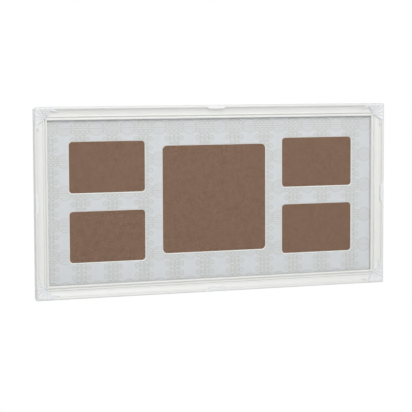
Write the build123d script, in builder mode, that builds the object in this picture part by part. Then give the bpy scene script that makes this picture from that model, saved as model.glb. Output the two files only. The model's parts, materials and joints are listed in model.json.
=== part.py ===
from build123d import *
import os
from math import cos, radians, sin

# Collage photo frame, in millimetres. X runs across the frame, Z runs up and the front faces -Y.
# The origin is the middle of the flat underside of the bottom rail.

# Windows of the mat
CENTRE_WINDOW = 195.0
CENTRE_WINDOW_RADIUS = 8.0
SIDE_WINDOW_WIDTH = 137.0
SIDE_WINDOW_HEIGHT = 91.0
SIDE_WINDOW_RADIUS = 6.0
WINDOW_GAP = 33.0
WINDOW_MARGIN = 38.5

# Sheets in the rabbet
PANE_THICKNESS = 2.0
MAT_THICKNESS = 1.5
BOARD_THICKNESS = 3.0
SHEET_PLAY = 1.0
WINDOW_BEVEL = 45.0

# Section of the moulding, from the outer bead to the lip at the sight edge
FACE_WIDTH = 24.0
RAIL_DEPTH = 17.0
BEAD_RADIUS = 2.6
BEAD_STEP = 1.0
RIDGE_RADIUS = 1.4
GROOVE_WIDTH = 1.2
GROOVE_DEPTH = 1.3
LIP_RADIUS = 2.2
LIP_THICKNESS = 3.0
RABBET_WIDTH = 6.0
CORNER_ROUND = 3.0

# Leaf ornaments over the mitres
LOBE_COUNT = 7
LOBE_SPREAD = 28.0
LOBE_RADIUS = 5.0
LOBE_STEM_RADIUS = 1.6
LOBE_STEM_START = 1.0
LEAF_EDGE = 0.6
LEAF_RISE = 1.4
LEAF_EYE_RADIUS = 3.2
LEAF_EYE_TOP = 2.2
LEAF_EYE_RISE = 2.6
LEAF_EYE_INSET = 3.5
GROUND_RADIUS = 15.0
GROUND_DROP = 2.8
BUD_STEM_RADIUS = 1.7
BUD_RADIUS = 2.4
BUD_INSET = 6.1
BUD_REACH = 1.5
TO_OUTER_CORNER = 225.0

# Shell ornaments at the middle of the rails
SHELL_LOBES = 5
SHELL_SPREAD = 34.0
SHELL_LENGTH = 6.2
SHELL_LOBE_RADIUS = 2.4
SHELL_STEM_RADIUS = 1.3
SHELL_STEM_START = 0.5
SHELL_EYE_RADIUS = 2.2
SHELL_EYE_TOP = 1.5
SHELL_EYE_RISE = 1.6
SHELL_DROP = 1.6
SPRAY_LENGTH = 36.0
SPRAY_RADIUS = 3.0
SPRAY_RISE = 1.0
SPRAY_TIP_RADIUS = 1.9
SPRAY_TIP_RISE = 0.5
SPRAY_EDGE = 0.8

# V-nails across the mitres
V_NAIL_LEG = 5.0
V_NAIL_THICKNESS = 0.8
V_NAIL_DEPTH = 8.0
V_NAIL_INSETS = (5.0, 11.0)

# Turn buttons and wood screws
BUTTON_INSET = 115.0
BUTTON_REACH = 17.0
BUTTON_PIVOT_RADIUS = 4.5
BUTTON_TIP_RADIUS = 3.5
BUTTON_THICKNESS = 1.0
BUTTON_LIFT = 1.2
BUTTON_FLARE = 5.0
SCREW_RADIUS = 1.5
SCREW_LENGTH = 10.0
SCREW_POINT = 3.0
SCREW_HEAD_RADIUS = 2.8
SCREW_HEAD_HEIGHT = 1.7
SCREW_HEAD_RIM = 0.5
TURNING_PLAY = 0.06
PILOT_PLAY = 0.03
PILOT_SPARE = 0.5

# Hanger plates and D rings
HANGER_DROP = 85.0
STRAP_WIDTH = 9.0
STRAP_LENGTH = 22.0
STRAP_THICKNESS = 0.9
STRAP_SCREW_DROP = 17.0
RING_WIRE_RADIUS = 1.0
RING_HALF_WIDTH = 7.5
RING_SIDE = 4.0
RING_CORNER = 2.0
RING_PLAY = 0.07
RING_CLEARANCE = 0.3

# Sizes that follow from those above
SIGHT_WIDTH = CENTRE_WINDOW + 2 * (WINDOW_GAP + SIDE_WINDOW_WIDTH + WINDOW_MARGIN)
SIGHT_HEIGHT = 2 * (SIDE_WINDOW_HEIGHT + WINDOW_MARGIN) + WINDOW_GAP
WIDTH = SIGHT_WIDTH + 2 * FACE_WIDTH
HEIGHT = SIGHT_HEIGHT + 2 * FACE_WIDTH
SHEET_WIDTH = SIGHT_WIDTH + 2 * (RABBET_WIDTH - SHEET_PLAY)
SHEET_HEIGHT = SIGHT_HEIGHT + 2 * (RABBET_WIDTH - SHEET_PLAY)
RABBET_DEPTH = PANE_THICKNESS + MAT_THICKNESS + BOARD_THICKNESS
LAND_WIDTH = FACE_WIDTH - RABBET_WIDTH
FLANK = RAIL_DEPTH - BEAD_RADIUS
BACK = FLANK / 2
GROOVE_FLOOR = RABBET_DEPTH + LIP_THICKNESS
COVE_LOW = GROOVE_FLOOR + GROOVE_DEPTH
COVE_HIGH = FLANK - BEAD_STEP
RIDGE_INNER = FACE_WIDTH - 2 * LIP_RADIUS - GROOVE_WIDTH
RIDGE_OUTER = RIDGE_INNER - 2 * RIDGE_RADIUS
KNUCKLE_RADIUS = RING_WIRE_RADIUS + RING_PLAY + STRAP_THICKNESS
BUTTON_SPACING = WIDTH / 2 - BUTTON_INSET
PIN_HEIGHT = STRAP_THICKNESS + RING_CLEARANCE + RING_WIRE_RADIUS

# One plane for each rail, on its outer edge at the back: x points inwards, y to the front, z along the rail
SIDES = {
    "top": Plane((0, BACK, HEIGHT), x_dir=(0, 0, -1), z_dir=(-1, 0, 0)),
    "bottom": Plane((0, BACK, 0), x_dir=(0, 0, 1), z_dir=(1, 0, 0)),
    "left": Plane((-WIDTH / 2, BACK, HEIGHT / 2), x_dir=(1, 0, 0), z_dir=(0, 0, -1)),
    "right": Plane((WIDTH / 2, BACK, HEIGHT / 2), x_dir=(-1, 0, 0), z_dir=(0, 0, 1)),
}
RAIL_LENGTHS = {"top": WIDTH, "bottom": WIDTH, "left": HEIGHT, "right": HEIGHT}

# One plane for each outer corner at the back: x and y run along the two rails, z to the front
CORNERS = {
    "bottom_left": Plane((-WIDTH / 2, BACK, 0), x_dir=(1, 0, 0), z_dir=(0, -1, 0)),
    "bottom_right": Plane((WIDTH / 2, BACK, 0), x_dir=(0, 0, 1), z_dir=(0, -1, 0)),
    "top_right": Plane((WIDTH / 2, BACK, HEIGHT), x_dir=(-1, 0, 0), z_dir=(0, -1, 0)),
    "top_left": Plane((-WIDTH / 2, BACK, HEIGHT), x_dir=(0, 0, -1), z_dir=(0, -1, 0)),
}


def pivot_plane(side, along):
    """A plane on the back land of a rail: x points inwards over the backing board, z out of the back."""
    plane = SIDES[side]
    origin = plane.from_local_coords((LAND_WIDTH / 2, 0, along))
    return Plane(origin, x_dir=plane.x_dir, z_dir=(0, 1, 0))


def hanger_plane(side):
    """The plane of a hanger on a side rail, under its knuckle: y runs down the strap, z out of the back."""
    inwards = SIDES[side].x_dir.X
    across = SIDES[side].origin.X + inwards * LAND_WIDTH / 2
    return Plane((across, BACK, HEIGHT - HANGER_DROP), x_dir=(1, 0, 0), z_dir=(0, 1, 0))


BUTTON_PIVOTS = {
    "top_left": pivot_plane("top", BUTTON_SPACING),
    "top_middle": pivot_plane("top", 0),
    "top_right": pivot_plane("top", -BUTTON_SPACING),
    "bottom_left": pivot_plane("bottom", -BUTTON_SPACING),
    "bottom_middle": pivot_plane("bottom", 0),
    "bottom_right": pivot_plane("bottom", BUTTON_SPACING),
    "left": pivot_plane("left", 0),
    "right": pivot_plane("right", 0),
}
HANGERS = {side: hanger_plane(side) for side in ("left", "right")}
HANGER_SCREW_SEATS = {
    side: Plane(hanger.from_local_coords((0, STRAP_SCREW_DROP, 0)), x_dir=(1, 0, 0), z_dir=(0, 1, 0))
    for side, hanger in HANGERS.items()
}


# V-nails: two bent strips at each corner, driven in from the back with one leg in each rail

with BuildPart() as v_nails:
    for corner in CORNERS.values():
        with BuildSketch(corner):
            for inset in V_NAIL_INSETS:
                with Locations((inset, inset)):
                    Rectangle(V_NAIL_LEG, V_NAIL_THICKNESS, align=(Align.MIN, Align.MIN))
                    Rectangle(V_NAIL_THICKNESS, V_NAIL_LEG, align=(Align.MIN, Align.MIN))
        extrude(amount=V_NAIL_DEPTH)
v_nails.part.label = "mitre_v_nails"


# Rails

def rail(side):
    """A length of moulding, mitred at both ends, with its screw holes and the slots of the V-nails."""
    plane = SIDES[side]
    half = RAIL_LENGTHS[side] / 2
    with BuildPart() as moulding:
        with BuildSketch(plane):
            with BuildLine():
                Polyline(
                    (0, FLANK),
                    (0, 0),
                    (LAND_WIDTH, 0),
                    (LAND_WIDTH, RABBET_DEPTH),
                    (FACE_WIDTH, RABBET_DEPTH),
                    (FACE_WIDTH, GROOVE_FLOOR),
                )
                lip_inner = FACE_WIDTH - 2 * LIP_RADIUS
                lip_crest = (FACE_WIDTH - LIP_RADIUS, GROOVE_FLOOR + LIP_RADIUS)
                ThreePointArc((FACE_WIDTH, GROOVE_FLOOR), lip_crest, (lip_inner, GROOVE_FLOOR))
                Polyline((lip_inner, GROOVE_FLOOR), (RIDGE_INNER, GROOVE_FLOOR), (RIDGE_INNER, COVE_LOW))
                ridge_crest = (RIDGE_INNER - RIDGE_RADIUS, COVE_LOW + RIDGE_RADIUS)
                ThreePointArc((RIDGE_INNER, COVE_LOW), ridge_crest, (RIDGE_OUTER, COVE_LOW))
                bead_foot = 2 * BEAD_RADIUS
                TangentArc((RIDGE_OUTER, COVE_LOW), (bead_foot, COVE_HIGH), tangent=(-1, 0))
                Line((bead_foot, COVE_HIGH), (bead_foot, FLANK))
                ThreePointArc((bead_foot, FLANK), (BEAD_RADIUS, RAIL_DEPTH), (0, FLANK))
            make_face()
        extrude(amount=half, both=True)
        for end in (1, -1):
            outwards = plane.x_dir + plane.z_dir * end
            split(bisect_by=Plane(plane.from_local_coords((0, 0, end * half)), z_dir=outwards), keep=Keep.BOTTOM)
        for corner in CORNERS.values():
            with BuildSketch(corner):
                Rectangle(CORNER_ROUND, CORNER_ROUND, align=(Align.MIN, Align.MIN))
                with Locations((CORNER_ROUND, CORNER_ROUND)):
                    Circle(CORNER_ROUND, mode=Mode.SUBTRACT)
            extrude(amount=RAIL_DEPTH, mode=Mode.SUBTRACT)
        seats = [(seat, BUTTON_THICKNESS) for seat in BUTTON_PIVOTS.values()]
        seats += [(seat, STRAP_THICKNESS) for seat in HANGER_SCREW_SEATS.values()]
        for seat, clamped in seats:
            with Locations(seat):
                Hole(SCREW_RADIUS + PILOT_PLAY, depth=SCREW_LENGTH - clamped + PILOT_SPARE)
        add(v_nails.part, mode=Mode.SUBTRACT)
    moulding.part.label = f"{side}_rail"
    return moulding


rails = {side: rail(side) for side in SIDES}


# Ornaments, made of tapered lobes with blunt noses

def lobe(start, end, start_radius, end_radius):
    """Adds a lobe that widens to a blunt nose to the part that is being made."""
    along = end - start
    shoulder = end_radius * cos(radians(45))
    with BuildSketch(Plane(start, x_dir=along, z_dir=along.cross(Vector(0, 1, 0)))) as profile:
        with BuildLine():
            Polyline(
                (0, 0),
                (0, start_radius),
                (along.length, end_radius),
                (along.length + shoulder, shoulder),
                (along.length + end_radius, 0),
                close=True,
            )
        make_face()
    revolve(profile.sketch, axis=Axis(start, along))


def carried(piece, start, end, label):
    """A copy of a piece, carried from one plane to another."""
    with BuildPart() as copy:
        with Locations(end.location * start.location.inverse()):
            add(piece.part)
    copy.part.label = label
    return copy


# A leaf over a mitre: lobes that fan out from an eye at the inner corner to the outer bead
with BuildPart() as leaf:
    corner = CORNERS["bottom_left"]
    eye = FACE_WIDTH - LEAF_EYE_INSET
    eye_height = COVE_LOW + RIDGE_RADIUS
    foot = corner.from_local_coords((eye, eye, 0))
    tip_inset = LEAF_EDGE + LOBE_RADIUS
    tip_height = RAIL_DEPTH + LEAF_RISE - LOBE_RADIUS
    fan = LOBE_SPREAD * (LOBE_COUNT - 1)
    first = TO_OUTER_CORNER - fan / 2
    start = corner.x_dir * cos(radians(first)) + corner.y_dir * sin(radians(first))
    with BuildSketch(Plane(foot, x_dir=start, z_dir=start.cross(corner.z_dir))):
        with BuildLine():
            rim = RAIL_DEPTH - GROUND_DROP
            Polyline((0, GROOVE_FLOOR), (GROUND_RADIUS, GROOVE_FLOOR), (GROUND_RADIUS, rim), (0, eye_height), close=True)
        make_face()
    revolve(axis=Axis(foot, corner.z_dir), revolution_arc=fan)
    with Locations(Plane(corner.from_local_coords((eye, eye, eye_height)), z_dir=corner.z_dir)):
        Cone(LEAF_EYE_RADIUS, LEAF_EYE_TOP, 2 * LEAF_EYE_RISE)
    for number in range(LOBE_COUNT):
        turn = radians(first + number * LOBE_SPREAD)
        reach = (eye - tip_inset) / max(-cos(turn), -sin(turn))
        stem = (eye + LOBE_STEM_START * cos(turn), eye + LOBE_STEM_START * sin(turn), eye_height)
        tip = (eye + reach * cos(turn), eye + reach * sin(turn), tip_height)
        lobe(corner.from_local_coords(stem), corner.from_local_coords(tip), LOBE_STEM_RADIUS, LOBE_RADIUS)
    bud_start = eye + reach * cos(turn)
    bud_end = bud_start + LOBE_RADIUS + BUD_REACH
    for stem, tip in (
        ((bud_start, BUD_INSET, FLANK), (bud_end, BUD_INSET, FLANK)),
        ((BUD_INSET, bud_start, FLANK), (BUD_INSET, bud_end, FLANK)),
    ):
        lobe(corner.from_local_coords(stem), corner.from_local_coords(tip), BUD_STEM_RADIUS, BUD_RADIUS)
    for moulding in rails.values():
        add(moulding.part, mode=Mode.SUBTRACT)

# A small shell between two leaves, on the outer bead at the middle of a rail
with BuildPart() as spray:
    edge = SIDES["bottom"]
    crest = RAIL_DEPTH + SPRAY_RISE
    shell_inset = SPRAY_EDGE + SHELL_LOBE_RADIUS + SHELL_LENGTH
    shell_height = COVE_HIGH - SHELL_DROP
    with Locations(Plane(edge.from_local_coords((shell_inset, shell_height, 0)), z_dir=edge.y_dir)):
        Cone(SHELL_EYE_RADIUS, SHELL_EYE_TOP, 2 * SHELL_EYE_RISE)
    for number in range(SHELL_LOBES):
        turn = radians((number - (SHELL_LOBES - 1) / 2) * SHELL_SPREAD)
        stem = (shell_inset - SHELL_STEM_START * cos(turn), shell_height, SHELL_STEM_START * sin(turn))
        tip = (shell_inset - SHELL_LENGTH * cos(turn), crest - SHELL_LOBE_RADIUS, SHELL_LENGTH * sin(turn))
        lobe(edge.from_local_coords(stem), edge.from_local_coords(tip), SHELL_STEM_RADIUS, SHELL_LOBE_RADIUS)
    for end in (1, -1):
        leaf_start = (SPRAY_EDGE + SPRAY_RADIUS, crest - SPRAY_RADIUS, end * SHELL_LENGTH)
        leaf_along = SPRAY_LENGTH / 2 - SPRAY_TIP_RADIUS
        leaf_tip = (SPRAY_EDGE + SPRAY_TIP_RADIUS, RAIL_DEPTH + SPRAY_TIP_RISE - SPRAY_TIP_RADIUS, end * leaf_along)
        lobe(edge.from_local_coords(leaf_start), edge.from_local_coords(leaf_tip), SPRAY_RADIUS, SPRAY_TIP_RADIUS)
    add(rails["bottom"].part, mode=Mode.SUBTRACT)

corner_ornaments = [
    carried(leaf, CORNERS["bottom_left"], corner, f"corner_ornament_{name}") for name, corner in CORNERS.items()
]
rail_ornaments = [carried(spray, SIDES["bottom"], edge, f"ornament_{side}") for side, edge in SIDES.items()]


# Sheets in the rabbet, from the back to the front

def sheet_plane(height):
    """The middle of the rabbet at a height above the back of the rails, with z to the front."""
    return Plane((0, BACK - height, HEIGHT / 2), x_dir=(1, 0, 0), z_dir=(0, -1, 0))


with BuildPart() as backing_board:
    with BuildSketch(sheet_plane(0)):
        Rectangle(SHEET_WIDTH, SHEET_HEIGHT)
    extrude(amount=BOARD_THICKNESS)
backing_board.part.label = "backing_board"

with BuildPart() as mat:
    with BuildSketch(sheet_plane(BOARD_THICKNESS)):
        Rectangle(SHEET_WIDTH, SHEET_HEIGHT)
    extrude(amount=MAT_THICKNESS)
    with BuildSketch(sheet_plane(BOARD_THICKNESS)):
        RectangleRounded(CENTRE_WINDOW, CENTRE_WINDOW, CENTRE_WINDOW_RADIUS)
        window_step = CENTRE_WINDOW + 2 * WINDOW_GAP + SIDE_WINDOW_WIDTH
        with GridLocations(window_step, SIDE_WINDOW_HEIGHT + WINDOW_GAP, 2, 2):
            RectangleRounded(SIDE_WINDOW_WIDTH, SIDE_WINDOW_HEIGHT, SIDE_WINDOW_RADIUS)
    extrude(amount=MAT_THICKNESS, taper=-WINDOW_BEVEL, mode=Mode.SUBTRACT)
mat.part.label = "mat"

with BuildPart() as pane:
    with BuildSketch(sheet_plane(BOARD_THICKNESS + MAT_THICKNESS)):
        Rectangle(SHEET_WIDTH, SHEET_HEIGHT)
    extrude(amount=PANE_THICKNESS)
pane.part.label = "pane"


# Turn buttons and their screws

def turn_button(name):
    """A tapered steel strip with a pivot hole, whose tip is bent up for a finger."""
    pivot = BUTTON_PIVOTS[name]
    flare_start = BUTTON_REACH + BUTTON_TIP_RADIUS - BUTTON_FLARE
    tip_end = BUTTON_REACH + BUTTON_TIP_RADIUS
    with BuildPart() as button:
        with BuildSketch(pivot):
            Circle(BUTTON_PIVOT_RADIUS)
            with Locations((BUTTON_REACH, 0)):
                Circle(BUTTON_TIP_RADIUS)
            make_hull()
            Circle(SCREW_RADIUS + TURNING_PLAY, mode=Mode.SUBTRACT)
        extrude(amount=BUTTON_THICKNESS + BUTTON_LIFT)
        with BuildSketch(Plane(pivot.origin, x_dir=pivot.x_dir, z_dir=-pivot.y_dir)):
            with BuildLine():
                Polyline(
                    (-BUTTON_PIVOT_RADIUS, 0),
                    (flare_start, 0),
                    (tip_end, BUTTON_LIFT),
                    (tip_end, BUTTON_LIFT + BUTTON_THICKNESS),
                    (flare_start, BUTTON_THICKNESS),
                    (-BUTTON_PIVOT_RADIUS, BUTTON_THICKNESS),
                    close=True,
                )
            make_face()
        extrude(amount=BUTTON_PIVOT_RADIUS, both=True, mode=Mode.INTERSECT)
    button.part.label = f"turn_button_{name}"
    return button


def screw(seat, clamped):
    """Adds a round-head wood screw, with its head on a strip of the given thickness, to the part being made."""
    head_top = clamped + SCREW_HEAD_HEIGHT
    head_rim = clamped + SCREW_HEAD_RIM
    point = clamped - SCREW_LENGTH
    with BuildSketch(Plane(seat.origin, x_dir=seat.x_dir, z_dir=-seat.y_dir)) as profile:
        with BuildLine():
            TangentArc((0, head_top), (SCREW_HEAD_RADIUS, head_rim), tangent=(1, 0))
            Polyline(
                (SCREW_HEAD_RADIUS, head_rim),
                (SCREW_HEAD_RADIUS, clamped),
                (SCREW_RADIUS, clamped),
                (SCREW_RADIUS, point + SCREW_POINT),
                (0, point),
                (0, head_top),
            )
        make_face()
    revolve(profile.sketch, axis=Axis(seat.origin, seat.z_dir))


turn_buttons = [turn_button(name) for name in BUTTON_PIVOTS]

with BuildPart() as turn_button_screws:
    for pivot in BUTTON_PIVOTS.values():
        screw(pivot, BUTTON_THICKNESS)
turn_button_screws.part.label = "turn_button_screws"


# Hangers

def hanger_plate(side):
    """A steel strap on the back of a side rail, rolled into a knuckle at its upper end."""
    hanger = HANGERS[side]
    with BuildPart() as plate:
        with BuildSketch(Plane(hanger.origin, x_dir=hanger.y_dir, z_dir=hanger.x_dir)):
            with Locations((0, PIN_HEIGHT)):
                Circle(KNUCKLE_RADIUS)
            Rectangle(STRAP_LENGTH, STRAP_THICKNESS, align=(Align.MIN, Align.MIN))
            with Locations((0, PIN_HEIGHT)):
                Circle(RING_WIRE_RADIUS + RING_PLAY, mode=Mode.SUBTRACT)
        extrude(amount=STRAP_WIDTH / 2, both=True)
        with BuildSketch(hanger):
            round_end = STRAP_LENGTH - STRAP_WIDTH / 2
            with Locations((0, -KNUCKLE_RADIUS)):
                Rectangle(STRAP_WIDTH, round_end + KNUCKLE_RADIUS, align=(Align.CENTER, Align.MIN))
            with Locations((0, round_end)):
                Circle(STRAP_WIDTH / 2)
        extrude(amount=PIN_HEIGHT + KNUCKLE_RADIUS, mode=Mode.INTERSECT)
        with Locations(HANGER_SCREW_SEATS[side]):
            Hole(SCREW_RADIUS + PILOT_PLAY, depth=2 * STRAP_THICKNESS)
    plate.part.label = f"hanger_plate_{side}"
    return plate


def hanger_ring(side):
    """A D ring of round wire, hanging down from the knuckle by its straight side."""
    pin = HANGERS[side].from_local_coords((0, 0, PIN_HEIGHT))
    with BuildPart() as ring:
        with BuildLine(Plane(pin, x_dir=(1, 0, 0), z_dir=(0, 1, 0))) as half_loop:
            FilletPolyline((0, 0), (RING_HALF_WIDTH, 0), (RING_HALF_WIDTH, RING_SIDE), radius=RING_CORNER)
            CenterArc((0, RING_SIDE), RING_HALF_WIDTH, 0, 90)
        with BuildSketch(Plane(pin, z_dir=(1, 0, 0))):
            Circle(RING_WIRE_RADIUS)
        sweep(path=half_loop.line)
        mirror(about=Plane(pin, z_dir=(1, 0, 0)))
    ring.part.label = f"hanger_ring_{side}"
    return ring


hanger_plates = [hanger_plate(side) for side in HANGERS]
hanger_rings = [hanger_ring(side) for side in HANGERS]

with BuildPart() as hanger_screws:
    for seat in HANGER_SCREW_SEATS.values():
        screw(seat, STRAP_THICKNESS)
hanger_screws.part.label = "hanger_screws"


# Files, one for each piece

pieces = [
    *rails.values(),
    *corner_ornaments,
    *rail_ornaments,
    v_nails,
    pane,
    mat,
    backing_board,
    *turn_buttons,
    turn_button_screws,
    *hanger_plates,
    *hanger_rings,
    hanger_screws,
]
os.makedirs("parts", exist_ok=True)
for piece in pieces:
    export_step(piece.part, f"parts/{piece.part.label}.step")
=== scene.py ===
"""Collage photo frame: a white moulded frame with leaf ornaments round a printed mat with five windows.

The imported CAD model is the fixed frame. This script gives it its finished meshes and materials.
Lengths are in metres; the defaults of the settings and the print are written in millimetres.
X runs across the frame, Z runs up and the front faces -Y.
"""

import json
from math import atan2, cos, exp, hypot, pi, radians, sin, sqrt

import bmesh
import bpy
from bpy.props import FloatProperty, FloatVectorProperty, IntProperty, PointerProperty
from mathutils import Matrix, Vector


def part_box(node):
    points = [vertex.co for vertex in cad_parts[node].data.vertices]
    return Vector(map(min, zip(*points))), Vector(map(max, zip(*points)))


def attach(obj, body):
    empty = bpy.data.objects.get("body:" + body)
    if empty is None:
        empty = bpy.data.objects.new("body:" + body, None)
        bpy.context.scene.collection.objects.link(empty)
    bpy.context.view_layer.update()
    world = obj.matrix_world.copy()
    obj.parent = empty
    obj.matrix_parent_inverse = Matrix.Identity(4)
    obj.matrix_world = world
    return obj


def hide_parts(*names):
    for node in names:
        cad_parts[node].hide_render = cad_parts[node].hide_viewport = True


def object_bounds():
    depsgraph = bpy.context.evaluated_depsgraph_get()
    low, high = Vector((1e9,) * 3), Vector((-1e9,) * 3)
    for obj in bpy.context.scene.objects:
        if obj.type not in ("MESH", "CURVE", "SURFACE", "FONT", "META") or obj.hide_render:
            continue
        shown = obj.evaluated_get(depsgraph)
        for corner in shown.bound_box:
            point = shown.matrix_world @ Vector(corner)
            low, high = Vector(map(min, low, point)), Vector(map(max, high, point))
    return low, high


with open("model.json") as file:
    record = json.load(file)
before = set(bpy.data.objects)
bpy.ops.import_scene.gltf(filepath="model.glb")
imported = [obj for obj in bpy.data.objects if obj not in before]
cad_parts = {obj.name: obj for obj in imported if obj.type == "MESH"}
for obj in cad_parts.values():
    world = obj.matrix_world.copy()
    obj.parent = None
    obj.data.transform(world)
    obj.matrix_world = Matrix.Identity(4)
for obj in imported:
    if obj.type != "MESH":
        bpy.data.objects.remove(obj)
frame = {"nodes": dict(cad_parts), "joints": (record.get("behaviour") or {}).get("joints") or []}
CAD_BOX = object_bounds()

bl_info = {
    "name": "Collage Photo Frame",
    "version": (1, 0, 0),
    "blender": (4, 5, 0),
    "location": "3D View > Sidebar > Photo Frame",
    "description": "Meshes, materials and stage of a photo frame",
    "category": "Object",
}

MM = 0.001
WHITE_LIGHT = (1, 1, 1, 1)

# How near points count as one, a cut meets a point and a face belongs to the back
WELD = 0.001 * MM
CUT_SLACK = 0.0001 * MM
BACK_SKIN = 0.01 * MM

# Play of the sheets in the rabbet, and pitch of the wire screen that marked the hardboard
SHEET_PLAY = 1 * MM
WIRE_PITCH = 1.5 * MM

# Main sizes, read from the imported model
WIDTH = CAD_BOX[1].x - CAD_BOX[0].x
HEIGHT = CAD_BOX[1].z - CAD_BOX[0].z
LEFT_LOW, LEFT_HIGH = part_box("left_rail")
FACE_WIDTH = LEFT_HIGH.x - LEFT_LOW.x
RAIL_DEPTH = LEFT_HIGH.y - LEFT_LOW.y
BACK = LEFT_HIGH.y
PANE_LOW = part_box("pane")[0]
LAND_WIDTH = PANE_LOW.x - LEFT_LOW.x - SHEET_PLAY
RABBET_DEPTH = BACK - PANE_LOW.y
MIDDLE = Vector((0, 0, HEIGHT / 2))

# Turn about Y, length and outer edge of each rail, taken from the bottom rail round the frame
RAILS = {
    "bottom": (0, WIDTH, Vector((0, BACK, 0))),
    "right": (-90, HEIGHT, Vector((WIDTH / 2, BACK, HEIGHT / 2))),
    "top": (180, WIDTH, Vector((0, BACK, HEIGHT))),
    "left": (90, HEIGHT, Vector((-WIDTH / 2, BACK, HEIGHT / 2))),
}
CORNERS = {
    "bottom_left": (0, Vector((-WIDTH / 2, BACK, 0))),
    "bottom_right": (-90, Vector((WIDTH / 2, BACK, 0))),
    "top_right": (180, Vector((WIDTH / 2, BACK, HEIGHT))),
    "top_left": (90, Vector((-WIDTH / 2, BACK, HEIGHT))),
}
FITTINGS = ("mitre_v_nails", "turn_button", "hanger")


def number(name, description, default, **kind):
    """A property for a number."""
    return FloatProperty(name=name, description=description, default=default, **kind)


def length(name, description, millimetres):
    """A property for a length."""
    return number(name, description, millimetres * MM, unit="LENGTH", precision=5)


def angle(name, description, degrees):
    """A property for an angle."""
    return number(name, description, radians(degrees), subtype="ANGLE")


def power(name, description, default):
    """A property for the power of a lamp."""
    return number(name, description, default, subtype="POWER")


def colour(name, description, default):
    """A property for a colour."""
    return FloatVectorProperty(
        name=name, description=description, default=default, subtype="COLOR", min=0, max=1,
    )


class MouldingSettings(bpy.types.PropertyGroup):
    """Section and finish of the rails."""
    bead_radius: length("Bead Radius", "Radius of the bead along the outer edge", 2.6)
    bead_step: length("Bead Step", "Depth of the step from the bead to the cove", 0.3)
    ridge_radius: length("Ridge Radius", "Radius of the ridge at the foot of the cove", 1.4)
    groove_width: length("Groove Width", "Width of the groove between ridge and lip", 1.2)
    groove_depth: length("Groove Depth", "Depth of the groove beside the ridge", 1.0)
    lip_radius: length("Lip Radius", "Radius of the lip at the sight edge", 2.2)
    lip_thickness: length("Lip Thickness", "Thickness of the lip in front of the glass", 3.0)
    corner_round: length("Corner Round", "Radius of the outer corners", 3.0)
    back_round: length("Back Round", "Radius of the long edges at the back", 0.6)
    white: colour("White", "Colour of the lacquer", (0.803, 0.808, 0.785))
    leaf_white: colour("Leaf White", "Colour of the lacquer on the leaves", (0.79, 0.805, 0.82))
    shell_white: colour("Shell White", "Colour of the lacquer on the shells", (0.84, 0.848, 0.848))
    shade_white: colour("Shade White", "Colour of the lacquer where it lies thin", (0.73, 0.736, 0.712))
    # Painted shade: a darker bluish grey laid into the furrows and hollows of the ornaments
    hollow_shade_white: colour("Hollow White", "Colour of the lacquer pooled in the hollows", (0.72, 0.735, 0.75))
    wood: colour("Wood", "Pale tone of the bare wood at the back", (0.56, 0.41, 0.26))
    dark_wood: colour("Dark Wood", "Tone of the grain in the bare wood", (0.40, 0.26, 0.15))


class LeafSettings(bpy.types.PropertyGroup):
    """Leaf ornaments over the mitres."""
    lobes: IntProperty(name="Lobes", description="Number of lobes in the fan", default=7, min=3, max=11)
    spread: angle("Spread", "Angle from one lobe to the next", 24)
    eye_inset: length("Eye Inset", "Distance of the eye from the sight edge", 3.5)
    edge: length("Edge", "Distance of the lobe tips from the outer edge", 0.15)
    rise: length("Rise", "Height of the lobes over the bead", 1.3)
    relief: length("Relief", "Height of a lobe over the furrow beside it", 1.3)
    eye_radius: length("Eye Radius", "Radius of the boss at the foot of the leaf", 2.6)
    tail_radius: length("Tail Radius", "Half width of the tail beyond the last lobe", 2.2)
    tail_length: length("Tail Length", "Length of the tail", 15)
    tail_place: length("Tail Place", "Distance of the tail's middle from the outer corner", 35.5)
    tail_inset: length("Tail Inset", "Distance of the tail's middle from the outer edge", 6.6)
    tail_turn: angle("Tail Turn", "Angle at which the tail curls away from the outer edge", 10)


class ShellSettings(bpy.types.PropertyGroup):
    """Shell ornaments at the middle of the rails."""
    flutes: IntProperty(name="Flutes", description="Number of flutes in the shell", default=7, min=3, max=15)
    half_length: length("Half Length", "Reach of the shell's wings along the rail", 24)
    depth: length("Depth", "Reach of the shell from the outer edge", 8.4)
    wing_depth: length("Wing Depth", "Reach of the wings from the outer edge", 4.2)
    edge: length("Edge", "Distance of the shell from the outer edge", 0.4)
    rise: length("Rise", "Height of the shell over the bead", 0.95)
    relief: length("Relief", "Height of a flute over the furrow beside it", 0.15)


class SheetSettings(bpy.types.PropertyGroup):
    """Printed mat, glass and backing board."""
    repeat: length("Repeat", "Repeat of the lattice print, across and up", 57.0)
    print_across: length("Print Across", "Place of a line of the lattice, from the middle", -19.0)
    print_up: length("Print Up", "Height of a line of the lattice, from the underside", 187.0)
    paper: colour("Paper", "Colour of the mat", (0.661, 0.680, 0.702))
    ink: colour("Ink", "Colour of the print on the mat", (0.505, 0.505, 0.435))
    core: colour("Core", "Colour of the cut edges of the mat", (0.86, 0.86, 0.84))
    board: colour("Board", "Colour of the hardboard", (0.225, 0.1335, 0.089))
    dark_board: colour("Dark Board", "Colour of the darker fibres in the hardboard", (0.165, 0.093, 0.0585))
    light_board: colour("Light Board", "Colour of the paler fibres in the hardboard", (0.267, 0.168, 0.115))


class HardwareSettings(bpy.types.PropertyGroup):
    """Turn buttons, screws and hangers."""
    head_radius: length("Head Radius", "Radius of a screw head", 2.8)
    head_height: length("Head Height", "Height of a screw head", 1.7)
    head_rim: length("Head Rim", "Height of the rim of a screw head", 0.5)
    recess_depth: length("Recess Depth", "Depth of the cross recess", 1.1)
    shank_radius: length("Shank Radius", "Radius of a screw's shank", 1.5)
    shank_length: length("Shank Length", "Length of a screw under its head", 9.0)
    zinc: colour("Zinc", "Colour of the zinc plate", (0.62, 0.62, 0.60))
    dull_zinc: colour("Dull Zinc", "Colour of the duller patches of the plate", (0.47, 0.48, 0.48))


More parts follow.
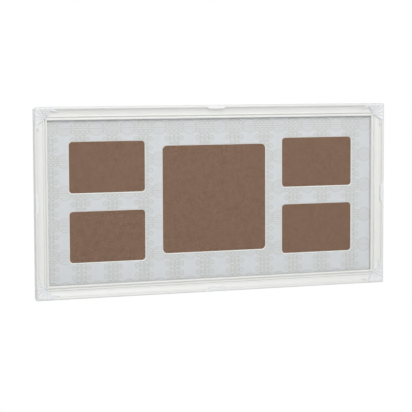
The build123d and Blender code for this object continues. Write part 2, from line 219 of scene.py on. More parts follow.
class StageSettings(bpy.types.PropertyGroup):
    """Camera, lamps and floor."""
    yaw: angle("Yaw", "Turn of the camera round the frame", -16.118)
    pitch: angle("Pitch", "Height of the camera over the horizon", 3.757)
    roll: angle("Roll", "Roll of the camera", -0.222)
    distance: length("Distance", "Distance of the camera from its aim", 2182.47)
    aim_across: length("Aim Across", "Place of the camera's aim across the frame", -17.21)
    aim_up: length("Aim Up", "Height of the camera's aim", 254.74)
    lens: number("Lens", "Focal length in millimetres", 105.09)
    shift: number("Shift", "Upright shift of the picture", -0.131)
    ambient: number("Ambient", "Strength of the light from all round", 0.40)
    key_power: power("Key", "Power of the key lamp", 17.2)
    front_power: power("Front", "Power of the front lamp", 17.2)
    back_power: power("Back", "Power of the lamp behind", 30)
    floor_drop: length("Floor Drop", "Distance of the floor under the hanging frame", 600)
    floor_radius: length("Floor Radius", "Radius of the floor", 6000)
    floor: colour("Floor", "Colour of the floor", (0.88, 0.88, 0.88))


class PhotoFrameSettings(bpy.types.PropertyGroup):
    """All settings of the photo frame."""
    moulding: PointerProperty(type=MouldingSettings)
    leaf: PointerProperty(type=LeafSettings)
    shell: PointerProperty(type=ShellSettings)
    sheets: PointerProperty(type=SheetSettings)
    hardware: PointerProperty(type=HardwareSettings)
    stage: PointerProperty(type=StageSettings)


def settings():
    """The settings that are in use."""
    return bpy.context.scene.photo_frame


# Node helpers

def start_material(name):
    """An empty node material, and its tree."""
    material = bpy.data.materials.new(name)
    material.use_nodes = True
    material.node_tree.nodes.clear()
    return material, material.node_tree


def add_node(tree, kind, inputs=None, **options):
    """A node with its options, and with each input given a value or linked to a socket."""
    made = tree.nodes.new(kind)
    for key, value in options.items():
        setattr(made, key, value)
    for key, value in (inputs or {}).items():
        if isinstance(value, bpy.types.NodeSocket):
            tree.links.new(value, made.inputs[key])
        else:
            made.inputs[key].default_value = value
    return made


def compute(tree, operation, *values):
    """The result of a Math node."""
    inputs = dict(enumerate(values))
    return add_node(tree, "ShaderNodeMath", inputs, operation=operation).outputs[0]


def blend_colours(tree, share, first, second):
    """A mix of two colours."""
    opaque = [c if isinstance(c, bpy.types.NodeSocket) else (*c, 1) for c in (first, second)]
    inputs = {0: share, 6: opaque[0], 7: opaque[1]}
    return add_node(tree, "ShaderNodeMix", inputs, data_type="RGBA").outputs[2]


def split(tree, vector):
    """The three axes of a vector."""
    return add_node(tree, "ShaderNodeSeparateXYZ", {0: vector}).outputs


def ramp(tree, value, low, high, at_low=0.0, at_high=1.0):
    """A value taken from one range to another, and held at its ends."""
    inputs = {"Value": value, "From Min": low, "From Max": high, "To Min": at_low, "To Max": at_high}
    return add_node(tree, "ShaderNodeMapRange", inputs).outputs[0]


def object_place(tree, offset=(0, 0, 0), scale=(1, 1, 1)):
    """The place on the object, in metres, centred and stretched by a Mapping node."""
    place = add_node(tree, "ShaderNodeTexCoord").outputs["Object"]
    inputs = {"Vector": place, "Location": offset, "Scale": scale}
    return add_node(tree, "ShaderNodeMapping", inputs).outputs[0]


def noise(tree, place, scale, detail=3, roughness=0.5, distortion=0):
    """The value of a noise texture."""
    inputs = {"Vector": place, "Scale": scale, "Detail": detail, "Roughness": roughness}
    inputs["Distortion"] = distortion
    return add_node(tree, "ShaderNodeTexNoise", inputs).outputs[0]


def bump(tree, height, distance, strength):
    """A normal from a height between 0 and 1 over a distance."""
    inputs = {"Height": height, "Distance": distance, "Strength": strength}
    return add_node(tree, "ShaderNodeBump", inputs).outputs[0]


def finish_material(material, inputs):
    """The surface of a material, as one Principled shader."""
    tree = material.node_tree
    shader = add_node(tree, "ShaderNodeBsdfPrincipled", inputs)
    add_node(tree, "ShaderNodeOutputMaterial", {"Surface": shader.outputs[0]})
    return material


def mix_shaders(tree, share, first, second):
    """A mix of two shaders."""
    inputs = {0: share, 1: first.outputs[0], 2: second.outputs[0]}
    return add_node(tree, "ShaderNodeMixShader", inputs).outputs[0]


def seen_rays(tree):
    """1 where a thing is seen, straight or by way of gloss or glass, and 0 where it only gives light."""
    path = add_node(tree, "ShaderNodeLightPath").outputs
    glossy = compute(tree, "MAXIMUM", path["Is Glossy Ray"], path["Is Transmission Ray"])
    return compute(tree, "MAXIMUM", path["Is Camera Ray"], glossy)


# Materials

def satin_lacquer(name, white, hollow=None):
    """White satin lacquer with a faint orange peel, and painted shade that greys it in the hollows of an
    ornament.
    """
    moulding = settings().moulding
    material, tree = start_material(name)
    place = object_place(tree)
    cloud = noise(tree, place, scale=38, detail=4, roughness=0.55)
    coat = blend_colours(tree, ramp(tree, cloud, 0.3, 0.75, 0.0, 0.3), white, moulding.shade_white)
    if hollow:
        # Painted shade: the hollow attribute greys the lacquer where the relief is deep
        depth = add_node(tree, "ShaderNodeAttribute", attribute_name=hollow).outputs["Fac"]
        coat = blend_colours(tree, depth, coat, moulding.hollow_shade_white)
    peel = noise(tree, place, scale=1500, detail=2)
    brush = noise(tree, place, scale=260)
    height = compute(tree, "MULTIPLY_ADD", brush, 0.6, peel)
    return finish_material(material, {
        "Base Color": coat,
        "Roughness": ramp(tree, brush, 0.3, 0.7, 0.34, 0.46),
        "Coat Weight": 0.12,
        "Coat Roughness": 0.3,
        "Normal": bump(tree, height, 0.05 * MM, 0.5),
    })


def bare_wood(name, grain):
    """Bare wood at the back of a rail: grain along the rail, and lacquer lapped over the outer edge."""
    moulding = settings().moulding
    material, tree = start_material(name)
    place = object_place(tree)
    along = object_place(tree, scale=grain)
    rings = noise(tree, along, scale=160, detail=5, distortion=1.2)
    figure = ramp(tree, rings, 0.36, 0.66)
    pores = ramp(tree, noise(tree, along, scale=900, detail=2), 0.56, 0.68)
    tone = compute(tree, "MAXIMUM", figure, pores)
    wood = blend_colours(tree, tone, moulding.wood, moulding.dark_wood)
    axes = split(tree, object_place(tree, offset=-MIDDLE))
    beside = compute(tree, "SUBTRACT", WIDTH / 2, compute(tree, "ABSOLUTE", axes[0]))
    under = compute(tree, "SUBTRACT", HEIGHT / 2, compute(tree, "ABSOLUTE", axes[2]))
    edge = compute(tree, "MINIMUM", beside, under)
    ragged = compute(tree, "MULTIPLY_ADD", noise(tree, place, scale=190, detail=4), -4 * MM, edge)
    lap = ramp(tree, ragged, -1.0 * MM, -0.4 * MM, 1, 0)
    return finish_material(material, {
        "Base Color": blend_colours(tree, lap, wood, moulding.white),
        "Roughness": ramp(tree, lap, 0, 1, 0.72, 0.42),
        "Normal": bump(tree, figure, 0.08 * MM, 0.6),
    })


# Shapes of the lattice print in millimetres from the crossing of two bars, in the first quarter of a repeat
PRINT_BLUR = 0.25
# Rules: left, right, low, high and strength
PRINT_RULES = (
    (0, 28.5, 0, 11.5, 0.06),
    (0, 0.45, 0, 28.5, 0.5),
    (8.6, 9.3, 0, 11.5, 0.45),
    (0, 9.4, 11, 11.7, 0.55),
    (0, 28.5, 0, 0.6, 0.85),
    (17.5, 28.5, 3.2, 4.2, 0.55),
    (19.5, 28.5, 7.4, 8.4, 0.5),
)
# Rings, and beads as rings without a radius: across, up, radius, half of the line and strength
PRINT_RINGS = (
    (12.6, 19.9, 4, 0.55, 0.9),
    (4.4, 15.4, 3.1, 0.55, 0.95),
    (4.4, 24.4, 3.1, 0.55, 0.95),
    (4.3, 6.2, 3.1, 0.7, 0.75),
    (12.6, 6.2, 3.1, 0.7, 0.75),
    (28.5, 0, 12.4, 0.9, 0.5),
    (0, 19.9, 0, 1.5, 1),
    (8, 19.9, 0, 1.4, 1),
    (0, 28.5, 0, 1.2, 0.9),
    (8.6, 28.5, 0, 1.4, 0.9),
    (8.8, 11.8, 0, 1.3, 0.9),
    (12.6, 19.9, 0, 1.2, 0.8),
)


def stripe(tree, value, middle, half):
    """1 where a value lies within half a stripe of its middle, with a soft edge."""
    away = compute(tree, "ABSOLUTE", compute(tree, "SUBTRACT", value, middle))
    return ramp(tree, away, half - PRINT_BLUR, half + PRINT_BLUR, 1, 0)


def lattice_print(tree):
    """Ink of the lattice: upright bars of rings and beads, level bars with medallions, and bare squares."""
    sheets = settings().sheets
    half = sheets.repeat / 2 / MM
    offset = (-sheets.print_across / MM, 0, -sheets.print_up / MM)
    axes = split(tree, object_place(tree, offset, (1 / MM, 1 / MM, 1 / MM)))
    folded = [compute(tree, "ABSOLUTE", compute(tree, "WRAP", axes[axis], half, -half)) for axis in (0, 2)]
    place = add_node(tree, "ShaderNodeCombineXYZ", dict(enumerate(folded))).outputs[0]
    shapes = []
    for left, right, low, high, strength in PRINT_RULES:
        across = stripe(tree, folded[0], (left + right) / 2, (right - left) / 2)
        up = stripe(tree, folded[1], (low + high) / 2, (high - low) / 2)
        shapes.append((compute(tree, "MULTIPLY", across, up), strength))
    for across, up, radius, line, strength in PRINT_RINGS:
        inputs = {0: place, 1: (across, up, 0)}
        gap = add_node(tree, "ShaderNodeVectorMath", inputs, operation="DISTANCE").outputs["Value"]
        shapes.append((stripe(tree, gap, radius, line), strength))
    ink = 0
    for shape, strength in shapes:
        ink = compute(tree, "MAXIMUM", ink, compute(tree, "MULTIPLY", shape, strength))
    return ink


def facing(tree):
    """How much a face points to the back: 1 for the back, -1 for the front."""
    return split(tree, add_node(tree, "ShaderNodeNewGeometry").outputs["True Normal"])[1]


def printed_mat(name):
    """Mat board: the lattice print on its front, and the white core on the bevels of the windows."""
    sheets = settings().sheets
    material, tree = start_material(name)
    place = object_place(tree)
    fibre = noise(tree, place, scale=2600, detail=4, roughness=0.6)
    cloud = noise(tree, place, scale=60)
    worn = ramp(tree, noise(tree, place, scale=700), 0.3, 0.62, 0.62, 1.0)
    ink = compute(tree, "MULTIPLY", lattice_print(tree), worn)
    pale = [share * 1.03 for share in sheets.paper]
    paper = blend_colours(tree, ramp(tree, cloud, 0.35, 0.65), sheets.paper, pale)
    front = blend_colours(tree, ink, paper, sheets.ink)
    flecked = blend_colours(tree, ramp(tree, fibre, 0.3, 0.7, 0.0, 0.08), sheets.core, sheets.ink)
    printed = ramp(tree, facing(tree), -0.95, -0.9, 1, 0)
    return finish_material(material, {
        "Base Color": blend_colours(tree, printed, flecked, front),
        "Roughness": ramp(tree, fibre, 0.3, 0.7, 0.72, 0.85),
        "Normal": bump(tree, fibre, 0.04 * MM, 0.5),
    })


def brown_hardboard(name):
    """Hardboard: pressed brown fibres with a smooth front, and the print of a wire screen on its back."""
    sheets = settings().sheets
    material, tree = start_material(name)
    place = object_place(tree)
    strands = noise(tree, object_place(tree, scale=(1, 1, 0.35)), scale=1100, detail=4, roughness=0.65)
    specks = noise(tree, place, scale=2300, detail=2, roughness=0.6)
    cloud = noise(tree, place, scale=170, detail=4, roughness=0.7)
    dark = ramp(tree, strands, 0.46, 0.68)
    pale = ramp(tree, specks, 0.60, 0.74, 0.0, 0.7)
    mottled = blend_colours(tree, dark, sheets.board, sheets.dark_board)
    flecked = blend_colours(tree, pale, mottled, sheets.light_board)
    cloudy = blend_colours(tree, ramp(tree, cloud, 0.42, 0.58, 0.0, 0.62), flecked, sheets.dark_board)
    axes = split(tree, place)
    waves = 2 * pi / WIRE_PITCH
    wires = [compute(tree, "SINE", compute(tree, "MULTIPLY", axes[axis], waves)) for axis in (0, 2)]
    screen = compute(tree, "MULTIPLY", *wires)
    at_back = ramp(tree, facing(tree), 0.5, 0.9)
    rough = compute(tree, "MULTIPLY", screen, at_back)
    height = compute(tree, "MULTIPLY_ADD", strands, 0.5, rough)
    return finish_material(material, {
        "Base Color": cloudy,
        "Roughness": ramp(tree, strands, 0.3, 0.7, 0.68, 0.82),
        "Specular IOR Level": 0.25,
        "Normal": bump(tree, height, 0.06 * MM, 0.5),
    })


def clear_glass(name):
    """Clear picture glass that lets light through to the mat, faintly waved as drawn sheet is."""
    material, tree = start_material(name)
    wave = noise(tree, object_place(tree), scale=9, detail=1)
    glass = add_node(tree, "ShaderNodeBsdfPrincipled", {
        "Base Color": (0.985, 0.995, 0.99, 1),
        "Roughness": 0.0,
        "IOR": 1.12,
        "Transmission Weight": 1.0,
        "Normal": bump(tree, wave, 0.1 * MM, 0.2),
    })
    open_way = add_node(tree, "ShaderNodeBsdfTransparent")
    path = add_node(tree, "ShaderNodeLightPath").outputs
    light = compute(tree, "MAXIMUM", path["Is Shadow Ray"], path["Is Diffuse Ray"])
    add_node(tree, "ShaderNodeOutputMaterial", {"Surface": mix_shaders(tree, light, glass, open_way)})
    return material


def zinc_plate(name):
    """Bright zinc plate on steel, with duller patches and fine rolling marks."""
    hardware = settings().hardware
    material, tree = start_material(name)
    patches = noise(tree, object_place(tree), scale=420, detail=4, roughness=0.6)
    marks = noise(tree, object_place(tree, scale=(6, 1, 1)), scale=900, detail=2)
    return finish_material(material, {
        "Base Color": blend_colours(tree, ramp(tree, patches, 0.4, 0.68), hardware.zinc, hardware.dull_zinc),
        "Metallic": 1.0,
        "Roughness": ramp(tree, patches, 0.3, 0.7, 0.26, 0.42),
        "Normal": bump(tree, marks, 0.03 * MM, 0.4),
    })


def paper_floor(name):
    """Pale paper floor that keeps the frame's shadow and runs out into the white background."""
    stage = settings().stage
    material, tree = start_material(name)
    place = object_place(tree)
    tooth = noise(tree, place, scale=500, detail=2)
    shade = blend_colours(tree, ramp(tree, tooth, 0.3, 0.7, 0.0, 0.05), stage.floor, (0.7, 0.7, 0.7))
    paper = add_node(tree, "ShaderNodeBsdfDiffuse", {"Color": shade})
    white = add_node(tree, "ShaderNodeEmission", {"Color": WHITE_LIGHT, "Strength": 1.0})
    away = add_node(tree, "ShaderNodeVectorMath", {0: place}, operation="LENGTH").outputs["Value"]
    share = compute(tree, "MULTIPLY", ramp(tree, away, 0.6, 1.25), seen_rays(tree))
    add_node(tree, "ShaderNodeOutputMaterial", {"Surface": mix_shaders(tree, share, paper, white)})
    return material


def shared_material(name, make, *details):
    """The material of that name, made the first time that it is asked for."""
    return bpy.data.materials.get(name) or make(name, *details)


# Mesh helpers

# Angles in degrees from which an edge is shaded sharp
SHARP = 38
ORNAMENT_SHARP = 70


def shell_of(face):
    """All faces that hang together with a face."""
    shell = {face}
    front = [face]
    while front:
        beside = {other for edge in front.pop().edges for other in edge.link_faces} - shell
        shell |= beside
        front.extend(beside)
    return shell


def turn_outwards(bm):
    """Points the faces of every closed shell outwards, so that each shell holds a positive volume."""
    bmesh.ops.recalc_face_normals(bm, faces=bm.faces)
    bm.normal_update()
    left = set(bm.faces)
    while left:
        shell = shell_of(next(iter(left)))
        left -= shell
        volume = sum(face.normal.dot(face.calc_center_median()) * face.calc_area() for face in shell)
        if volume < 0:
            bmesh.ops.reverse_faces(bm, faces=list(shell))


def finish_piece(bm, name, materials, sharp=SHARP):
    """A mesh object at the origin, shaded smooth but for its sharp edges."""
    turn_outwards(bm)
    for face in bm.faces:
        face.smooth = True
    for edge in bm.edges:
        edge.smooth = len(edge.link_faces) == 2 and edge.calc_face_angle() < radians(sharp)
    mesh = bpy.data.meshes.new(name)
    bm.to_mesh(mesh)
    bm.free()
    for material in materials:
        mesh.materials.append(material)
    piece = bpy.data.objects.new(name, mesh)
    bpy.context.scene.collection.objects.link(piece)
    return piece


def stand_for(piece, body, slot, *nodes):
    """The piece rides on a body and stands for CAD nodes, which it hides; the slot is not used."""
    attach(piece, body)
    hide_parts(*nodes)


def dress(node, material):
    """The material of a CAD node that is kept."""
    slots = frame["nodes"][node].data.materials
    slots.clear()
    slots.append(material)


def verts_in(parts):
    """The vertices among the parts that an operator made."""
    return [part for part in parts if isinstance(part, bmesh.types.BMVert)]


def grow(bm, tip, place):
    """A new vertex at a place, with an edge to it from a tip."""
    grown = bmesh.ops.extrude_vert_indiv(bm, verts=[tip])["verts"][0]
    grown.co = place
    return grown


def draw_rims(bm, level):
    """Draws the open rims of a shell back to a level, and gives the new vertices."""
    rims = [edge for edge in bm.edges if edge.is_boundary]
    drawn = verts_in(bmesh.ops.extrude_edge_only(bm, edges=rims)["geom"])
    for vert in drawn:
        vert.co.y = level
    return drawn


def close_holes(bm):
    """Faces over the open ends of a shell."""
    rims = [edge for edge in bm.edges if edge.is_boundary]
    bmesh.ops.holes_fill(bm, edges=rims, sides=0)


def place_on(bm, turn, place):
    """Turns a mesh round Y and moves it to its place on the frame."""
    bm.transform(Matrix.Translation(place) @ Matrix.Rotation(radians(turn), 4, "Y"))


def smoothly(low, high, value):
    """0 up to low and 1 from high, and an S-curve between."""
    share = min(max((value - low) / (high - low), 0), 1)
    return share * share * (3 - 2 * share)


# Rails

def section_point(inwards, forwards):
    """A point of the moulding's section, on the bottom rail before it is placed."""
    return Vector((0, -forwards, inwards))


def run_to(bm, tip, inwards, forwards):
    """A straight run of the section's outline from its tip to a point."""
    return grow(bm, tip, section_point(inwards, forwards))


def turn_about(bm, tip, inwards, forwards, degrees, steps):
    """A round stretch of the section's outline from its tip about a centre."""
    centre = section_point(inwards, forwards)
    made = bmesh.ops.spin(bm, geom=[tip], cent=centre, axis=(1, 0, 0), angle=radians(degrees), steps=steps)
    return verts_in(made["geom_last"])[0]


class Section:
    """Heights and places of the moulding's section."""

    def __init__(self):
        moulding = settings().moulding
        self.bead = moulding.bead_radius
        self.flank = RAIL_DEPTH - self.bead
        self.bead_foot = 2 * self.bead
        self.groove_floor = RABBET_DEPTH + moulding.lip_thickness
        self.lip = moulding.lip_radius
        self.lip_foot = FACE_WIDTH - 2 * self.lip
        self.ridge = moulding.ridge_radius
        self.ridge_inner = self.lip_foot - moulding.groove_width
        self.ridge_outer = self.ridge_inner - 2 * self.ridge
        self.cove_low = self.groove_floor + moulding.groove_depth
        self.cove_high = self.flank - moulding.bead_step
        fall = self.cove_high - self.cove_low
        span = self.ridge_outer - self.bead_foot
        self.cove_radius = (span**2 + fall**2) / (2 * fall)
        self.cove_turn = atan2(span, self.cove_radius - fall)

    def height(self, inwards):
        """Height of the front of the moulding over its back, at a distance from the outer edge."""
        if inwards <= self.bead_foot:
            return self.flank + sqrt(max(self.bead**2 - (inwards - self.bead)**2, 0))
        if inwards <= self.ridge_outer:
            hollow = sqrt(self.cove_radius**2 - (inwards - self.ridge_outer)**2)
            return self.cove_low + self.cove_radius - hollow
        if inwards <= self.ridge_inner:
            return self.cove_low + sqrt(max(self.ridge**2 - (inwards - self.ridge_inner + self.ridge)**2, 0))
        if inwards <= self.lip_foot:
            return self.groove_floor
        return self.groove_floor + sqrt(max(self.lip**2 - (inwards - FACE_WIDTH + self.lip)**2, 0))


def moulding_outline(bm):
    """The closed outline of the moulding's section, from the outer flank round by the back and the front."""
    section = Section()
    small = settings().moulding.back_round
    start = bm.verts.new(section_point(0, section.flank))
    tip = run_to(bm, start, 0, small)
    tip = turn_about(bm, tip, small, small, 90, steps=4)
    tip = run_to(bm, tip, LAND_WIDTH - small, 0)
    tip = turn_about(bm, tip, LAND_WIDTH - small, small, 90, steps=4)
    tip = run_to(bm, tip, LAND_WIDTH, RABBET_DEPTH)
    tip = run_to(bm, tip, FACE_WIDTH, RABBET_DEPTH)
    tip = run_to(bm, tip, FACE_WIDTH, section.groove_floor)
    tip = turn_about(bm, tip, FACE_WIDTH - section.lip, section.groove_floor, 180, steps=16)
    tip = run_to(bm, tip, section.ridge_inner, section.groove_floor)
    tip = run_to(bm, tip, section.ridge_inner, section.cove_low)
    tip = turn_about(bm, tip, section.ridge_inner - section.ridge, section.cove_low, 180, steps=14)
    cove_centre = section.cove_low + section.cove_radius
    tip = turn_about(bm, tip, section.ridge_outer, cove_centre, -section.cove_turn * 180 / pi, steps=20)
    tip = run_to(bm, tip, section.bead_foot, section.flank)
    turn_about(bm, tip, section.bead, section.flank, 180, steps=18)
    bmesh.ops.remove_doubles(bm, verts=bm.verts, dist=WELD)


def cut_off(bm, place, outwards):
    """Cuts away what lies beyond a plane and closes the cut."""
    parts = bm.verts[:] + bm.edges[:] + bm.faces[:]
    bmesh.ops.bisect_plane(
        bm, geom=parts, dist=CUT_SLACK, plane_co=place, plane_no=outwards, clear_outer=True,
    )
    close_holes(bm)


CORNER_FACETS = 5


def rail_mesh(side):
    """A rail: the section drawn out to its length, mitred, with its outer corners rounded."""
    turn, long, edge = RAILS[side]
    bm = bmesh.new()
    moulding_outline(bm)
    drawn = bmesh.ops.extrude_edge_only(bm, edges=bm.edges[:])
    bmesh.ops.translate(bm, verts=verts_in(drawn["geom"]), vec=(long, 0, 0))
    bmesh.ops.translate(bm, verts=bm.verts, vec=(-long / 2, 0, 0))
    close_holes(bm)
    radius = settings().moulding.corner_round
    for end in (1, -1):
        cut_off(bm, Vector((end * long / 2, 0, 0)), Vector((end, 0, 1)))
        centre = Vector((end * (long / 2 - radius), 0, radius))
        for step in range(CORNER_FACETS):
            lean = radians(45) * (step + 0.5) / CORNER_FACETS
            outwards = Vector((end * sin(lean), 0, -cos(lean)))
            cut_off(bm, centre + outwards * radius, outwards)
    place_on(bm, turn, edge)
    for face in bm.faces:
        face.material_index = int(face.calc_center_median().y > BACK - BACK_SKIN)
    return bm


# Ornaments

SINK = 0.35 * MM  # depth of an ornament's rim under the face of the moulding
CLOSE_AT = 1 * MM  # distance of an ornament's closed back from the floor of the groove

# Leaf: the crest of a lobe as a share of its reach, and its mean level as a share of the relief
LOBE_ROOT = 1.0 * MM
SIDE_REACH = 31 * MM
EDGE_BLEND = 10
REACH_BLEND = 6
CREST = 0.84
TIP_DROP = 1.2 * MM
MEAN_LEVEL = 0.45
VEIN_WIDTH = 0.17
VEIN_DEPTH = 0.2
RIBS = 7
RIB_DEPTH = 0.22
TAIL_THINNING = 0.4
TAIL_CURL = 0.6
TAIL_DROP = 0.9 * MM
SWAP_ACROSS_AND_UP = Matrix(((0, 0, 1, 0), (0, 1, 0, 0), (1, 0, 0, 0), (0, 0, 0, 1)))

# Boss of the leaf: its collar as shares of the radius and heights in millimetres, then its dome
BOSS_SINK = 1.5 * MM
BOSS_COLLAR = ((1.0, 0), (1.0, 1.7), (0.86, 2.1), (0.74, 1.75))
DOME_RISE = 1.7 * MM
DOME_STEPS = 5

# Shell: the share of its width at which it is highest
SHELL_RIDGE = 0.66


class Leaf:
    """A fan of lobes that springs from a boss on the mitre and laps over the beads of two rails."""

    def __init__(self):
        self.values = settings().leaf
        self.section = Section()
        self.depth = FACE_WIDTH - self.values.eye_inset
        self.foot = self.section.height(min(self.depth, self.section.ridge_inner - self.section.ridge))
        self.half_angle = self.values.spread * self.values.lobes / 2

    def to_edges(self, bearing):
        """How straight a bearing runs to each of the two outer edges."""
        return [cos(bearing - radians(edge)) for edge in (-45, 45)]

    def reach(self, bearing):
        """Length of the fan from its eye, between the outer edges and the reach of its side lobes."""
        out = sum(max(straight, 0.01)**EDGE_BLEND for straight in self.to_edges(bearing))**(1 / EDGE_BLEND)
        to_edge = (self.depth - self.values.edge) / out
        taper = 1 - 0.3 * smoothly(0.82, 1.0, abs(bearing) / self.half_angle)
        beside = SIDE_REACH * taper
        return (to_edge**-REACH_BLEND + beside**-REACH_BLEND)**(-1 / REACH_BLEND)

    def point(self, turn_share, reach_share):
        """A point of the relief, and the painted shade of the furrow it lies in."""
        leaf = self.values
        bearing = turn_share * self.half_angle
        # Beside is 0 on the vein of a lobe and 1 in the furrow next to it
        lobe = abs(bearing) / leaf.spread
        last = (leaf.lobes - 1) / 2
        beside = 2 * (lobe - last if lobe > last else abs(lobe - round(lobe)))
        scallop = 1 - 0.03 * beside**2.4 + 0.01 * cos(3 * pi * beside)
        distance = LOBE_ROOT + (self.reach(bearing) * scallop - LOBE_ROOT) * reach_share
        depth = min(self.depth - distance * straight for straight in self.to_edges(bearing))
        ground = self.section.height(max(depth, leaf.edge)) - SINK
        # The lobes climb from the eye to their crest and fall to their tips
        crest = RAIL_DEPTH + leaf.rise - MEAN_LEVEL * leaf.relief
        climb = min(reach_share / CREST, 1)**1.1
        fall = TIP_DROP * smoothly(CREST, 1.05, reach_share)
        body = self.foot + (crest - self.foot) * climb - fall
        swell = leaf.relief * sin(pi * min(0.12 + 0.82 * reach_share, 1))**0.8
        rounded = 1 - beside**1.7 - MEAN_LEVEL
        vein = smoothly(0.1, 0.25, reach_share) * (1 - smoothly(0.75, 0.95, reach_share))
        vein *= exp(-(beside / VEIN_WIDTH)**2)
        ribs = cos(2 * pi * (RIBS * reach_share - 1.1 * beside)) * beside * (1 - beside)
        height = body + swell * (rounded - VEIN_DEPTH * vein + RIB_DEPTH * ribs)
        height = min(height, RAIL_DEPTH + leaf.rise)
        # The rim sinks into the moulding
        rim = smoothly(0.0, 0.07, 1 - abs(turn_share)) * (1 - smoothly(0.98, 1.0, reach_share))
        height = ground + (height - ground) * rim
        # Painted shade: darker in the furrows between lobes and along the vein
        hollow = min(0.75 * beside**3 + 0.6 * vein, 1) * rim
        return Vector((distance * sin(bearing), -height, -distance * cos(bearing))), hollow


class Shell:
    """A fluted shell with a wing on either side, on the bead of a rail."""

    def __init__(self):
        self.values = settings().shell
        self.section = Section()

    def point(self, along, across):
        """A point of the relief, along the rail and in from its edge, and the painted shade of the furrow it
        lies in.
        """
        shell = self.values
        swell = 1 - smoothly(0.56, 0.8, abs(along))
        inner = shell.wing_depth * (1 - 0.45 * abs(along)**3) + (shell.depth - shell.wing_depth) * swell
        depth = shell.edge + (inner - shell.edge) * across
        ground = self.section.height(depth) - SINK
        crest = RAIL_DEPTH + shell.rise * (0.3 + 0.7 * swell) - shell.relief
        # The shell arches from the outer edge over its ridge and down to the inner edge
        if across < SHELL_RIDGE:
            arch = max(1 - (1 - across / SHELL_RIDGE)**2.2, 0)**0.5
        else:
            arch = max(1 - ((across - SHELL_RIDGE) / (1 - SHELL_RIDGE))**2.2, 0)**0.8
        arch *= smoothly(0, 0.08, 1 - abs(along))
        flute = cos(pi * (shell.flutes + 1) * along * (1 + 0.25 * across))
        height = ground + (crest + shell.relief * flute * (1 - 0.5 * across) - ground) * arch
        # Painted shade: faintly darker between the flutes
        return Vector((shell.half_length * along, -height, depth)), 0.06 * (1 - flute) * arch


def relief_mesh(ornament, columns, rows):
    """The relief of an ornament with painted shade by the depth of its furrows, closed behind inside the
    moulding.
    """
    bm = bmesh.new()
    # The hollow layer holds painted shade for the furrows
    hollow_shade_layer = bm.verts.layers.float.new("hollow")
    made = bmesh.ops.create_grid(bm, x_segments=columns, y_segments=rows, size=1)
    for vert in made["verts"]:
        vert.co, vert[hollow_shade_layer] = ornament.point(vert.co.x, (vert.co.y + 1) / 2)
    draw_rims(bm, CLOSE_AT - ornament.section.groove_floor)
    close_holes(bm)
    return bm


def add_boss(bm, foot):
    """The boss at the eye of the leaf, with a collar round its dome and painted shade in the groove between
    them.
    """
    radius = settings().leaf.eye_radius
    base = foot - BOSS_SINK
    places = [(radius * across, up * MM) for across, up in BOSS_COLLAR]
    dome_radius, dome_foot = places[-1]
    for step in range(1, DOME_STEPS + 1):
        lean = radians(90) * step / DOME_STEPS
        places.append((dome_radius * cos(lean), dome_foot + DOME_RISE * sin(lean)))
    outline = [bm.verts.new((0, -base, 0))]
    for across, up in places:
        outline.append(grow(bm, outline[-1], (across, -base - up, 0)))
    geom = outline + list(dict.fromkeys(edge for vert in outline for edge in vert.link_edges))
    bmesh.ops.spin(bm, geom=geom, cent=(0, 0, 0), axis=(0, 1, 0), angle=2 * pi, steps=28, use_merge=True)
    poles = [vert for vert in bm.verts if vert.co.xz.length < WELD]
    bmesh.ops.remove_doubles(bm, verts=poles, dist=WELD)
    hollow_shade_layer = bm.verts.layers.float["hollow"]
    # Painted shade in the groove where the collar meets the dome
    for vert in bm.verts:
        if 0.7 * radius < vert.co.xz.length < 0.8 * radius and vert.co.y < -base - MM:
            vert[hollow_shade_layer] = 0.5


def add_tail(bm, height, mirrored):
    """A tail of the leaf that lies on the foot of the bead and thins out along the rail."""
    leaf = settings().leaf
    made = bmesh.ops.create_uvsphere(bm, u_segments=24, v_segments=16, radius=1)
    for vert in made["verts"]:
        across, thick, along = vert.co
        across *= leaf.tail_radius * (1 - TAIL_THINNING * along)
        curl = TAIL_CURL * leaf.tail_radius * (along / 2)**2
        vert.co = (along * leaf.tail_length / 2, thick * leaf.tail_radius, across + curl)
    place = Matrix.Translation((leaf.tail_place, -height, leaf.tail_inset))
    place = place @ Matrix.Rotation(-leaf.tail_turn, 4, "Y")
    if mirrored:
        place = SWAP_ACROSS_AND_UP @ place
    bmesh.ops.transform(bm, matrix=place, verts=made["verts"])


def leaf_mesh():
    """The leaf over a mitre, in the place of the bottom left corner's outer edges."""
    leaf = Leaf()
    bm = relief_mesh(leaf, columns=18 * leaf.values.lobes, rows=34)
    add_boss(bm, leaf.foot)
    bm.transform(Matrix.Translation((leaf.depth, 0, leaf.depth)) @ Matrix.Rotation(radians(45), 4, "Y"))
    for mirrored in (False, True):
        add_tail(bm, leaf.section.flank - TAIL_DROP, mirrored)
    return bm


# Screws

SCREW_CELLS = 12
CROSS_SHAPE = (1.1, 3.9)  # half width and half length of the cross recess, in cells of the head's grid
CROSS_TAPER = 0.7
SHANK_OVERLAP = 0.2 * MM


